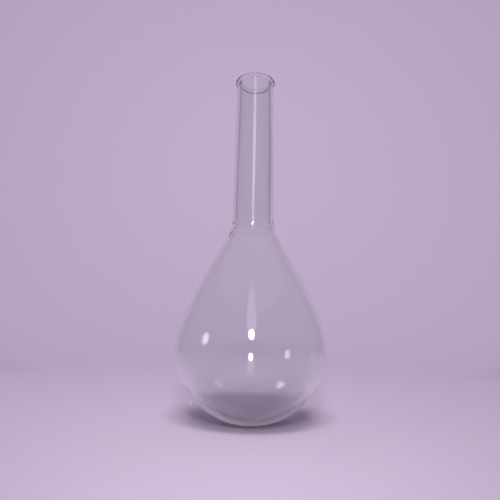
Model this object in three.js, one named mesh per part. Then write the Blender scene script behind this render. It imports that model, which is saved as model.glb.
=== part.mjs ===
// A round-bottomed, pear-bodied laboratory flask with a long neck and a beaded lip.
// Millimetres, +Z up. The origin is the lowest point of the bulb, on the flask's axis.
// The glass is worked as four members, fused end to end: the bulb, the weld to the neck,
// the neck tube and the lip's bead. Each member is a ring of glass cut off by flat planes,
// and neighbours meet on those planes.
import * as THREE from 'three';

// Driving dimensions
const bulbDiameter = 100;
const bowlDepth = 48.5;           // from the bulb's widest line down to its lowest point
const flaskHeight = 241;
const neckDiameter = 28.5;
const bulbWall = 2.8;
const neckWall = 3.0;
const beadDiameter = 28.6;
const beadHeight = 3.8;
const lipLandWidth = 1.0;         // flat land on top of the lip
const drawnInDepth = 0.85;        // how far the neck's side is drawn in below the bead
const drawnInStart = 176.5;       // height at which the neck starts to draw in
const coneAngle = THREE.MathUtils.degToRad(29.9);      // half-angle of the shoulder's cone
const roundAngle = THREE.MathUtils.degToRad(20.2);     // where the round body hands over to the pear
const pearRadius = 244;           // radius of the long curve between the round body and the cone
const weldRadius = 26;            // radius of the outer hollow curve from the cone into the neck

// Mesh fineness
const turns = 60;
const bowlSteps = 12;
const bandSteps = 3;
const pearSteps = 4;
const weldSteps = 5;
const drawnInSteps = 6;
const beadSteps = 6;

const bulbRadius = bulbDiameter / 2;
const neckRadius = neckDiameter / 2;
const beadBottom = flaskHeight - beadHeight;

// Points of an elliptical arc in the profile's plane, between two angles from the horizontal.
function arc(centre, halfWidth, halfHeight, fromAngle, toAngle, steps) {
  const points = [];
  for (let step = 0; step <= steps; step += 1) {
    const angle = THREE.MathUtils.lerp(fromAngle, toAngle, step / steps);
    const across = centre.x + halfWidth * Math.cos(angle);
    points.push(new THREE.Vector2(Math.max(across, 0), centre.y + halfHeight * Math.sin(angle)));
  }
  return points;
}

// The side of the neck above its straight stretch, drawn in smoothly towards the lip.
function drawnInSide(radius) {
  const points = [];
  for (let step = 0; step <= drawnInSteps; step += 1) {
    const part = step / drawnInSteps;
    const inward = drawnInDepth * THREE.MathUtils.smoothstep(part, 0, 1);
    points.push(new THREE.Vector2(radius - inward, THREE.MathUtils.lerp(drawnInStart, beadBottom, part)));
  }
  return points;
}

// One side of the glass from the bottom of the bulb to the bead: a slightly flattened bowl, the
// round band above its widest line, pear curve, cone, hollow curve and neck. The depth is how far
// this side lies inside the outer one on the body.
function flaskOutline(depth, sideRadius, hollowRadius) {
  const bodyCentre = new THREE.Vector2(0, bowlDepth);
  const bodyRadius = bulbRadius - depth;
  const bowl = arc(bodyCentre, bodyRadius, bowlDepth - depth, -Math.PI / 2, 0, bowlSteps);
  const band = arc(bodyCentre, bodyRadius, bodyRadius, 0, roundAngle, bandSteps);

  const pearOffset = bulbRadius - pearRadius;
  const pearCentre = new THREE.Vector2(
    pearOffset * Math.cos(roundAngle),
    bowlDepth + pearOffset * Math.sin(roundAngle),
  );
  const pearSide = pearRadius - depth;
  const pear = arc(pearCentre, pearSide, pearSide, roundAngle, coneAngle, pearSteps);

  const coneStart = pear[pearSteps];
  const hollowCentre = new THREE.Vector2(sideRadius + hollowRadius, 0);
  const coneEndRadius = hollowCentre.x - hollowRadius * Math.cos(coneAngle);
  const coneEndHeight = coneStart.y + (coneStart.x - coneEndRadius) / Math.tan(coneAngle);
  hollowCentre.y = coneEndHeight + hollowRadius * Math.sin(coneAngle);
  const hollow = arc(hollowCentre, hollowRadius, hollowRadius, Math.PI + coneAngle, Math.PI, weldSteps);

  return [...bowl, ...band.slice(1), ...pear.slice(1), ...hollow, ...drawnInSide(sideRadius)];
}

// The stretch of an outline between two heights, with its ends worked out on the line.
function between(outline, low, high) {
  const points = [];
  outline.forEach((point, index) => {
    const next = outline[index + 1];
    if (point.y >= low && point.y <= high) {
      points.push(point);
    }
    for (const height of [low, high]) {
      if (next && point.y < height && next.y > height) {
        const part = (height - point.y) / (next.y - point.y);
        points.push(new THREE.Vector2(THREE.MathUtils.lerp(point.x, next.x, part), height));
      }
    }
  });
  return points;
}

// A member of the flask: its profile turned about +Z.
function turned(name, profile) {
  const geometry = new THREE.LatheGeometry(profile, turns);
  geometry.rotateX(Math.PI / 2);
  const glass = new THREE.MeshStandardMaterial({
    color: 0xeef3f1,
    roughness: 0.03,
    metalness: 0,
    transparent: true,
    opacity: 0.35,
  });
  const mesh = new THREE.Mesh(geometry, glass);
  mesh.name = name;
  return mesh;
}

const outer = flaskOutline(0, neckRadius, weldRadius);
const inner = flaskOutline(bulbWall, neckRadius - neckWall, weldRadius + neckWall);

// The weld runs from the end of the cone to where both sides of the neck are straight.
const hollowStart = bowlSteps + bandSteps + pearSteps + 1;
const weldBottom = outer[hollowStart].y;
const weldTop = inner[hollowStart + weldSteps].y;

// The bulb: a closed bowl, whose profile starts and ends on the axis.
function bulb() {
  const outside = between(outer, 0, weldBottom);
  const inside = between(inner, 0, weldBottom).reverse();
  return turned('bulb', [...outside, ...inside]);
}

// A ring of the flask's wall between two heights.
function wallRing(name, low, high) {
  const outside = between(outer, low, high);
  const inside = between(inner, low, high).reverse();
  return turned(name, [...outside, ...inside, outside[0]]);
}

// The lip's bead: a rounded ring that stands on the neck tube's end, with a flat land on top.
function rimBead() {
  const tubeEdge = outer.at(-1);
  const boreEdge = inner.at(-1);
  const halfHeight = beadHeight / 2;
  const roundWidth = (beadDiameter / 2 - boreEdge.x - lipLandWidth) / 2;
  const innerCentre = new THREE.Vector2(boreEdge.x + roundWidth, beadBottom + halfHeight);
  const outerCentre = new THREE.Vector2(innerCentre.x + lipLandWidth, innerCentre.y);
  const outerRound = arc(outerCentre, roundWidth, halfHeight, -Math.PI / 4, Math.PI / 2, beadSteps);
  const innerRound = arc(innerCentre, roundWidth, halfHeight, Math.PI / 2, Math.PI, beadSteps / 2);
  return turned('rim_bead', [tubeEdge, ...outerRound, ...innerRound, boreEdge, tubeEdge]);
}

const flask = new THREE.Group();
flask.add(bulb());
flask.add(wallRing('neck_seal', weldBottom, weldTop));
flask.add(wallRing('neck_tube', weldTop, beadBottom));
flask.add(rimBead());

export default flask;
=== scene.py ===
"""The looks of a round-bottomed, pear-bodied glass flask: clear worked glass on a pale studio sweep.

Metres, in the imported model's frame: +Z up the flask's axis, the origin under the round bottom.
The glass is made as one seamless skin, up the outside, over the lip and down the bore, and then
cut into the flask's four members. The members meet on the welds, inside the wall.
"""
import math

import bpy
import numpy as np
from mathutils import Matrix, Vector


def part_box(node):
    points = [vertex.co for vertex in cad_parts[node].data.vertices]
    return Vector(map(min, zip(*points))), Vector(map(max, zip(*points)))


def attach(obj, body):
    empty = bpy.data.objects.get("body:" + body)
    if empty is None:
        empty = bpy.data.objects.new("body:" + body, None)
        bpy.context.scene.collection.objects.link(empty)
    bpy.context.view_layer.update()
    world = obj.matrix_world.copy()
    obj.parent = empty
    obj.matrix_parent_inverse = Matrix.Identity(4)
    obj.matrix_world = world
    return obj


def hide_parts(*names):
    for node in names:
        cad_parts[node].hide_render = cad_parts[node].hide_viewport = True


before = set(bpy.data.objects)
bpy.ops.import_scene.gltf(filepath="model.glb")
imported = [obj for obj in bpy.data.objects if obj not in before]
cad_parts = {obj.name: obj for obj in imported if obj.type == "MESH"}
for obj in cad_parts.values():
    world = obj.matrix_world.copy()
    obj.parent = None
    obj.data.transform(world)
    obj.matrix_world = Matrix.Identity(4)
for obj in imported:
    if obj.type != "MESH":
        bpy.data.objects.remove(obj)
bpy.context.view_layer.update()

MM = 0.001

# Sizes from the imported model
BULB_LOW, BULB_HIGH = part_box("bulb")
SEAL_LOW, SEAL_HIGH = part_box("neck_seal")
TUBE_LOW, TUBE_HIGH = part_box("neck_tube")
BEAD_LOW, BEAD_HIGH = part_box("rim_bead")
BULB_RADIUS = (BULB_HIGH[0] - BULB_LOW[0]) / 2
NECK_RADIUS = (TUBE_HIGH[0] - TUBE_LOW[0]) / 2
BEAD_RADIUS = (BEAD_HIGH[0] - BEAD_LOW[0]) / 2
SEAL_BOTTOM = SEAL_LOW[2]
SEAL_TOP = SEAL_HIGH[2]
BEAD_BOTTOM = BEAD_LOW[2]
LIP_TOP = BEAD_HIGH[2]

# The outline, as in the CAD model
BOWL_DEPTH = 48.5 * MM
CONE_ANGLE = math.radians(29.9)
ROUND_ANGLE = math.radians(20.2)
PEAR_RADIUS = 244 * MM
WELD_RADIUS = 26 * MM
DRAWN_IN_DEPTH = 0.85 * MM
DRAWN_IN_START = 176.5 * MM
BULB_MIDDLE = Vector((0, 0, BOWL_DEPTH))

# The wall at some heights up the flask
WALL_HEIGHTS = [0, 25 * MM, 60 * MM, 105 * MM, SEAL_BOTTOM, SEAL_TOP, BEAD_BOTTOM]
WALLS = [3.4 * MM, 2.8 * MM, 2.6 * MM, 2.8 * MM, 2.9 * MM, 3.1 * MM, 3.0 * MM]

# Mesh fineness
TURNS = 192
STEP = 0.8 * MM

BOROSILICATE_IOR = 1.474

# The camera, from the flask's own size
VIEW_DISTANCE = 6.0 * BULB_RADIUS
VIEW_ABOVE = 1.307 * BULB_RADIUS
VIEW_ASIDE = -0.036 * BULB_RADIUS
VIEW_TILT = math.radians(9.84)
VIEW_ROLL = math.radians(1.02)
VIEW_LENS = 32.4


# ---------------------------------------------------------------- outlines

def arc(centre, width, height, start, end, step=STEP):
    """Points of an elliptical arc in the profile's plane, about a step apart."""
    count = max(int(abs(end - start) * max(width, height) / step), 6)
    angles = np.linspace(start, end, count + 1)
    return np.column_stack([centre[0] + width * np.cos(angles), centre[1] + height * np.sin(angles)])


def straight(start, end):
    """Points of a straight line in the profile's plane, about STEP apart."""
    count = max(int(math.dist(start, end) / STEP), 2)
    share = np.linspace(0, 1, count + 1)[:, None]
    return np.array(start) * (1 - share) + np.array(end) * share


def smooth(low, high, value):
    """0 at low and below, 1 at high and above, with a soft step between."""
    share = np.clip((value - low) / (high - low), 0, 1)
    return share * share * (3 - 2 * share)


def outer_outline():
    """The outer side from the middle of the bottom to the bead's foot."""
    bowl = arc((0, BOWL_DEPTH), BULB_RADIUS, BOWL_DEPTH, -math.pi / 2, 0)
    round_band = arc((0, BOWL_DEPTH), BULB_RADIUS, BULB_RADIUS, 0, ROUND_ANGLE)
    offset = BULB_RADIUS - PEAR_RADIUS
    pear_centre = (offset * math.cos(ROUND_ANGLE), BOWL_DEPTH + offset * math.sin(ROUND_ANGLE))
    pear = arc(pear_centre, PEAR_RADIUS, PEAR_RADIUS, ROUND_ANGLE, CONE_ANGLE)
    cone_end = NECK_RADIUS + WELD_RADIUS * (1 - math.cos(CONE_ANGLE))
    cone = straight(pear[-1], (cone_end, SEAL_BOTTOM))
    hollow_centre = (NECK_RADIUS + WELD_RADIUS, SEAL_BOTTOM + WELD_RADIUS * math.sin(CONE_ANGLE))
    hollow = arc(hollow_centre, WELD_RADIUS, WELD_RADIUS, math.pi + CONE_ANGLE, math.pi, STEP / 2)
    stub = straight((NECK_RADIUS, hollow_centre[1]), (NECK_RADIUS, SEAL_TOP))
    neck = straight((NECK_RADIUS, SEAL_TOP), (NECK_RADIUS, BEAD_BOTTOM))
    neck[:, 0] -= DRAWN_IN_DEPTH * smooth(DRAWN_IN_START, BEAD_BOTTOM, neck[:, 1])
    return np.vstack([bowl, round_band[1:], pear[1:], cone[1:], hollow[1:], stub[1:], neck[1:]])


def across(outline):
    """Unit vectors across an outline that runs up the outer side, pointing out of the glass."""
    along = np.gradient(outline, axis=0)
    along /= np.linalg.norm(along, axis=1)[:, None]
    return np.column_stack([along[:, 1], -along[:, 0]])


def inner_outline(outline):
    """The bore's side: the outer one moved in by the wall."""
    wall = np.interp(outline[:, 1], WALL_HEIGHTS, WALLS)
    return outline - across(outline) * wall[:, None]


def bead_outlines(tube_edge, bore_edge):
    """The lip's outer and inner sides, each from the tube's end to the top of the bead."""
    half_width = (BEAD_RADIUS - bore_edge[0]) / 2
    half_height = (LIP_TOP - BEAD_BOTTOM) / 2
    centre = (BEAD_RADIUS - half_width, LIP_TOP - half_height)
    clear_of_tube = 0.96
    foot = -math.acos(min((tube_edge[0] - centre[0]) / half_width, 1)) * clear_of_tube
    outer = arc(centre, half_width, half_height, foot, math.pi / 2, STEP / 4)
    inner = arc(centre, half_width, half_height, math.pi, math.pi / 2, STEP / 4)
    return outer, inner


# ---------------------------------------------------------------- the worked surface

def wander(angle, height, most_lobes, shortest, longest, seed):
    """A smooth irregular field over the wall, mostly between -1 and 1: a few waves round and up it."""
    draw = np.random.default_rng(seed)
    waves = 10
    field = np.zeros(np.broadcast(angle, height).shape)
    for _ in range(waves):
        lobes = draw.integers(0, most_lobes + 1)
        pitch = draw.uniform(shortest, longest) * draw.choice([-1, 1])
        phase = draw.uniform(0, 2 * math.pi)
        field += np.cos(lobes * angle + 2 * math.pi * height / pitch + phase)
    usual_peak = 1.6 * math.sqrt(waves / 2)
    return field / usual_peak


def band(height, low, high, soft):
    """1 between two heights, fading to 0 over a soft distance outside them."""
    return smooth(low - soft, low, height) * (1 - smooth(high, high + soft, height))


def ring_mark(height, place, width):
    """A low round ring at one height."""
    return np.exp(-(((height - place) / width) ** 2))


def outer_ripple(angle, height):
    """How far the outer surface stands out of its outline."""
    blown = 0.025 * MM * wander(angle, height, 3, 35 * MM, 90 * MM, 1)
    drawn = 0.02 * MM * wander(angle, height, 9, 90 * MM, 400 * MM, 2)
    weld = 0.03 * MM * wander(angle, height, 12, 4 * MM, 9 * MM, 3)
    in_weld = band(height, SEAL_BOTTOM + 1 * MM, SEAL_TOP - 4 * MM, 2.5 * MM)
    in_neck = smooth(SEAL_TOP, SEAL_TOP + 8 * MM, height)
    mark_drops = (18.5 * MM, 22.5 * MM)
    marks = 0.09 * MM * sum(ring_mark(height, LIP_TOP - drop, 0.9 * MM) for drop in mark_drops)
    fade = smooth(0, 12 * MM, height)
    return fade * (blown * (1 - in_neck) + drawn * in_neck) + weld * in_weld + marks


def inner_ripple(angle, height):
    """How far the inner surface stands out of its outline, towards the bore."""
    blown = 0.05 * MM * wander(angle, height, 4, 25 * MM, 70 * MM, 4)
    drawn = 0.05 * MM * wander(angle, height, 7, 80 * MM, 300 * MM, 5)
    weld = 0.075 * MM * wander(angle, height, 11, 4 * MM, 9 * MM, 6)
    in_weld = band(height, SEAL_BOTTOM, SEAL_TOP - 4 * MM, 2.5 * MM)
    in_neck = smooth(SEAL_TOP, SEAL_TOP + 8 * MM, height)
    collar = 0.32 * MM * ring_mark(height, SEAL_BOTTOM + 3 * MM, 2.3 * MM)
    fade = smooth(WALLS[0], 14 * MM, height)
    return fade * (blown * (1 - in_neck) + drawn * in_neck) + weld * in_weld + collar


def worked_skin():
    """Every ring of the glass's skin, its normals, and the rows where the members meet.

    Row 0 is the pole under the bulb and the last row is the pole inside it. A weld's row on the
    outside has its partner on the inside as many rows from the end as it is from the start.
    """
    outer = outer_outline()
    inner = inner_outline(outer)
    bead_outer, bead_inner = bead_outlines(outer[-1], inner[-1])
    profile = np.vstack([outer, bead_outer, bead_inner[-2::-1], inner[::-1]])
    lip_row = len(outer) + len(bead_outer) - 1
    angle = np.arange(TURNS) * 2 * math.pi / TURNS
    height = profile[:, 1:]
    ripple = outer_ripple(angle, height)
    ripple[lip_row + 1:] = inner_ripple(angle, height)[lip_row + 1:]
    outward = across(profile)
    radius = profile[:, :1] + outward[:, :1] * ripple
    rise = height + outward[:, 1:] * ripple
    radius[[0, -1]] = 0
    rise[0] = 0
    rise[-1] = WALLS[0]
    skin = np.stack([radius * np.cos(angle), radius * np.sin(angle), rise], axis=2)
    around = np.roll(skin, -1, axis=1) - np.roll(skin, 1, axis=1)
    normals = np.cross(around, np.gradient(skin, axis=0))
    normals[0] = (0, 0, -1)
    normals[-1] = (0, 0, 1)
    normals /= np.linalg.norm(normals, axis=2)[..., None]
    welds = [int(np.argmin(abs(outer[:, 1] - level))) for level in (SEAL_BOTTOM, SEAL_TOP, BEAD_BOTTOM)]
    return skin, normals, welds


def ring_of_faces(low, high):
    """The faces between two rings, each a list of vertex numbers. A ring of one vertex is a pole."""
    faces = []
    for turn in range(TURNS):
        following = (turn + 1) % TURNS
        corners = [low[turn % len(low)], low[following % len(low)],
                   high[following % len(high)], high[turn % len(high)]]
        faces.append(list(dict.fromkeys(corners)))
    return faces


def member(name, node, skin, normals, rows, weld_after, glass):
    """One member of the flask: the given rows of the skin, closed by weld faces inside the wall."""
    rings = []
    points = []
    directions = []
    for row in rows:
        is_pole = row in (0, len(skin) - 1)
        kept = 1 if is_pole else TURNS
        rings.append(list(range(len(points), len(points) + kept)))
        points.extend(skin[row, :kept].tolist())
        directions.extend(normals[row, :kept].tolist())
    faces = []
    slots = []
    pairs = list(zip(rings, rings[1:]))
    if len(rings[0]) > 1:
        pairs.append((rings[-1], rings[0]))
        weld_after = weld_after + [len(pairs) - 1]
    for index, (low, high) in enumerate(pairs):
        made = ring_of_faces(low, high)
        faces.extend(made)
        slots.extend([int(index in weld_after)] * len(made))
    mesh = bpy.data.meshes.new(name)
    mesh.from_pydata(points, [], faces)
    mesh.materials.append(glass)
    mesh.materials.append(WELD_FACE)
    mesh.polygons.foreach_set("material_index", slots)
    mesh.polygons.foreach_set("use_smooth", [True] * len(faces))
    mesh.normals_split_custom_set_from_vertices(directions)
    piece = bpy.data.objects.new(name, mesh)
    bpy.context.scene.collection.objects.link(piece)
    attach(piece, "root")
    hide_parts(node)
    return piece


def flask():
    """The four members, cut from one skin."""
    skin, normals, (seal_low, seal_high, bead_low) = worked_skin()
    last = len(skin) - 1

    def wall(low, high):
        up = list(range(low, high + 1))
        return up + [last - row for row in reversed(up)]

    def add(name, node, rows, weld_after, glass):
        member(name, node, skin, normals, rows, weld_after, glass)

    add("blown_bulb", "bulb", wall(0, seal_low), [seal_low], BULB_GLASS)
    add("fused_neck_seal", "neck_seal", wall(seal_low, seal_high), [seal_high - seal_low],
        SEAL_GLASS)
    add("drawn_neck_tube", "neck_tube", wall(seal_high, bead_low), [bead_low - seal_high],
        TUBE_GLASS)
    add("fire_polished_bead", "rim_bead", list(range(bead_low, last - bead_low + 1)), [],
        BEAD_GLASS)


# ---------------------------------------------------------------- materials

def new_material(name):
    """A new material and its node tree, emptied."""
    material = bpy.data.materials.new(name)
    material.use_nodes = True
    tree = material.node_tree
    tree.nodes.clear()
    return material, tree


def clear_glass(name, colour, film, film_scale):
    """Clear borosilicate glass with a thin, patchy film of handling on it."""
    material, tree = new_material(name)
    output = tree.nodes.new("ShaderNodeOutputMaterial")
    shader = tree.nodes.new("ShaderNodeBsdfPrincipled")
    shader.inputs["Base Color"].default_value = (*colour, 1)
    shader.inputs["Transmission Weight"].default_value = 1
    shader.inputs["IOR"].default_value = BOROSILICATE_IOR
    place = tree.nodes.new("ShaderNodeTexCoord")
    patches = tree.nodes.new("ShaderNodeTexNoise")
    patches.inputs["Scale"].default_value = film_scale
    patches.inputs["Detail"].default_value = 5
    thickness = tree.nodes.new("ShaderNodeMapRange")
    thickness.inputs["From Min"].default_value = 0.45
    thickness.inputs["From Max"].default_value = 0.75
    thickness.inputs["To Max"].default_value = film
    tree.links.new(place.outputs["Object"], patches.inputs["Vector"])
    tree.links.new(patches.outputs["Fac"], thickness.inputs["Value"])
    tree.links.new(thickness.outputs["Result"], shader.inputs["Roughness"])
    tree.links.new(shader.outputs["BSDF"], output.inputs["Surface"])
    return material


def weld_face():
    """The inside of a fused weld: glass meets glass there, so light goes straight on."""
    material, tree = new_material("weld_face")
    output = tree.nodes.new("ShaderNodeOutputMaterial")
    shader = tree.nodes.new("ShaderNodeBsdfTransparent")
    tree.links.new(shader.outputs["BSDF"], output.inputs["Surface"])
    return material


def shaded_paper():
    """The studio's plain matte surface, in the shade painted on its mesh."""
    material, tree = new_material("studio_paper")
    output = tree.nodes.new("ShaderNodeOutputMaterial")
    shader = tree.nodes.new("ShaderNodeBsdfPrincipled")
    paint = tree.nodes.new("ShaderNodeAttribute")
    paint.attribute_name = "shade"
    shader.inputs["Roughness"].default_value = 0.9
    shader.inputs["Specular IOR Level"].default_value = 0.1
    tree.links.new(paint.outputs["Color"], shader.inputs["Base Color"])
    tree.links.new(shader.outputs["BSDF"], output.inputs["Surface"])
    return material


# ---------------------------------------------------------------- studio

def sweep():
    """A pale floor that curves up all round into a wall, pale behind the flask and grey elsewhere."""
    floor_radius = 0.5
    bowl_radius = 1.25
    bowl_top = math.radians(22)
    bowl_centre = (floor_radius, bowl_radius)
    bowl_step = 0.02
    turns = 120
    pale = np.array([0.70, 0.58, 0.76, 1])
    grey = np.array([0.46, 0.41, 0.49, 1])
    floor = [(floor_radius * share, 0.0) for share in (0.001, 0.1, 0.3, 0.6, 0.8)]
    bowl = arc(bowl_centre, bowl_radius, bowl_radius, -math.pi / 2, bowl_top, bowl_step)
    profile = np.vstack([floor, bowl])
    angle = np.arange(turns) * 2 * math.pi / turns
    from_back = np.minimum(angle, 2 * math.pi - angle)
    behind = 1 - smooth(math.radians(38), math.radians(56), from_back)
    points = []
    shades = []
    for radius, height in profile:
        level = np.full(turns, height)
        points.append(np.column_stack([-radius * np.sin(angle), radius * np.cos(angle), level]))
        underfoot = 1 - smooth(0.35, 0.8, radius)
        pale_share = np.maximum(underfoot, behind)[:, None]
        shades.append(pale * pale_share + grey * (1 - pale_share))
    rings = [range(row * turns, (row + 1) * turns) for row in range(len(profile))]
    faces = [tuple(rings[0])]
    for low, high in zip(rings, rings[1:]):
        faces += [(low[turn - 1], high[turn - 1], high[turn], low[turn]) for turn in range(turns)]
    mesh = bpy.data.meshes.new("studio_sweep")
    mesh.from_pydata(np.vstack(points).tolist(), [], faces)
    paint = mesh.color_attributes.new("shade", "FLOAT_COLOR", "POINT")
    paint.data.foreach_set("color", np.vstack(shades).ravel())
    mesh.materials.append(shaded_paper())
    mesh.polygons.foreach_set("use_smooth", [True] * len(faces))
    paper = bpy.data.objects.new("studio_sweep", mesh)
    bpy.context.scene.collection.objects.link(paper)


def softbox(name, place, aim, width, height, radiance, spread, mirrored=True):
    """A lamp with its width level, turned to face a point, whose light leaves it within a spread.

    It looks as bright from that point whatever its size and spread. The camera doesn't see it, and
    the glass shows it only if it is mirrored.
    """
    half_spread = math.radians(spread) / 2
    gathered = 1 - half_spread / math.tan(half_spread)
    lamp = bpy.data.lights.new(name, "AREA")
    lamp.shape = "ELLIPSE" if mirrored else "RECTANGLE"
    lamp.size = width
    lamp.size_y = height
    lamp.spread = 2 * half_spread
    lamp.energy = radiance * math.pi * width * height * gathered
    backward = (place - aim).normalized()
    sideways = Vector((0, 0, 1)).cross(backward).normalized()
    upward = backward.cross(sideways).normalized()
    turned = Matrix((sideways, upward, backward)).transposed()
    holder = bpy.data.objects.new(name, lamp)
    holder.matrix_world = Matrix.Translation(place) @ turned.to_4x4()
    holder.visible_camera = False
    holder.visible_glossy = mirrored
    holder.visible_transmission = mirrored
    bpy.context.scene.collection.objects.link(holder)


def from_bulb(aside, above, distance):
    """A point some way from the bulb's middle, in degrees aside from the viewer and above level."""
    turn = math.radians(aside)
    lift = math.radians(above)
    way = Vector((math.sin(turn) * math.cos(lift), -math.cos(turn) * math.cos(lift), math.sin(lift)))
    return BULB_MIDDLE + way * distance


def add_lights():
    """Broad soft light from above, and three lamps that the glass mirrors: flash, strip and window."""
    neck_middle = Vector((0, 0, (SEAL_TOP + BEAD_BOTTOM) / 2))
    softbox("key", Vector((0, -0.95, 1.6)), Vector((0, 1.4, 0.95)), 0.8, 0.8, 19, 130, False)
    softbox("fill", Vector((0, 0.2, 1.7)), Vector((0, 0.2, 0)), 1.4, 1.4, 1.0, 180, False)
    softbox("flash", from_bulb(0, 20, 0.35), BULB_MIDDLE, 0.04, 0.08, 60, 80)
    softbox("strip", from_bulb(0, 40, 0.45), neck_middle, 0.10, 0.30, 1.5, 90)
    softbox("window", from_bulb(-70, 10, 0.8), BULB_MIDDLE, 0.15, 0.20, 4, 90)
    world = bpy.data.worlds.new("studio_air")
    world.use_nodes = True
    world.node_tree.nodes["Background"].inputs["Color"].default_value = (0.95, 0.95, 1.0, 1)
    world.node_tree.nodes["Background"].inputs["Strength"].default_value = 0.3
    bpy.context.scene.world = world


def add_camera():
    """The camera looks slightly up the flask, with the bulb nearer to it than the mouth."""
    forward = Vector((0, math.cos(VIEW_TILT), math.sin(VIEW_TILT)))
    up = Vector((0, -math.sin(VIEW_TILT), math.cos(VIEW_TILT)))
    right = Vector((1, 0, 0))
    place = BULB_MIDDLE - forward * VIEW_DISTANCE + up * VIEW_ABOVE + right * VIEW_ASIDE
    lens = bpy.data.cameras.new("viewpoint")
    lens.lens = VIEW_LENS
    lens.sensor_width = 36
    lens.clip_start = 0.01
    lens.clip_end = 20
    camera = bpy.data.objects.new("viewpoint", lens)
    turned = Matrix((right, up, -forward)).transposed() @ Matrix.Rotation(VIEW_ROLL, 3, "Z")
    camera.matrix_world = Matrix.Translation(place) @ turned.to_4x4()
    bpy.context.scene.collection.objects.link(camera)
    bpy.context.scene.camera = camera


def set_render_depth():
    """Enough bounces for light to run down inside the wall, and plain colour handling."""
    most_bounces = 64
    glass_bounces = 48
    scene = bpy.context.scene
    scene.cycles.max_bounces = most_bounces
    scene.cycles.transparent_max_bounces = most_bounces
    scene.cycles.transmission_bounces = glass_bounces
    scene.cycles.glossy_bounces = glass_bounces
    scene.cycles.sample_clamp_indirect = 0
    scene.view_settings.view_transform = "Standard"


BODY_TINT = (0.955, 0.967, 0.962)
NECK_TINT = (0.945, 0.957, 0.952)
BULB_GLASS = clear_glass("clear_blown_glass", BODY_TINT, 0.05, 30)
SEAL_GLASS = clear_glass("clear_fused_glass", BODY_TINT, 0.07, 90)
TUBE_GLASS = clear_glass("clear_drawn_glass", NECK_TINT, 0.05, 40)
BEAD_GLASS = clear_glass("clear_fire_polished_glass", NECK_TINT, 0.02, 60)
WELD_FACE = weld_face()

add_camera()
flask()
sweep()
add_lights()
set_render_depth()
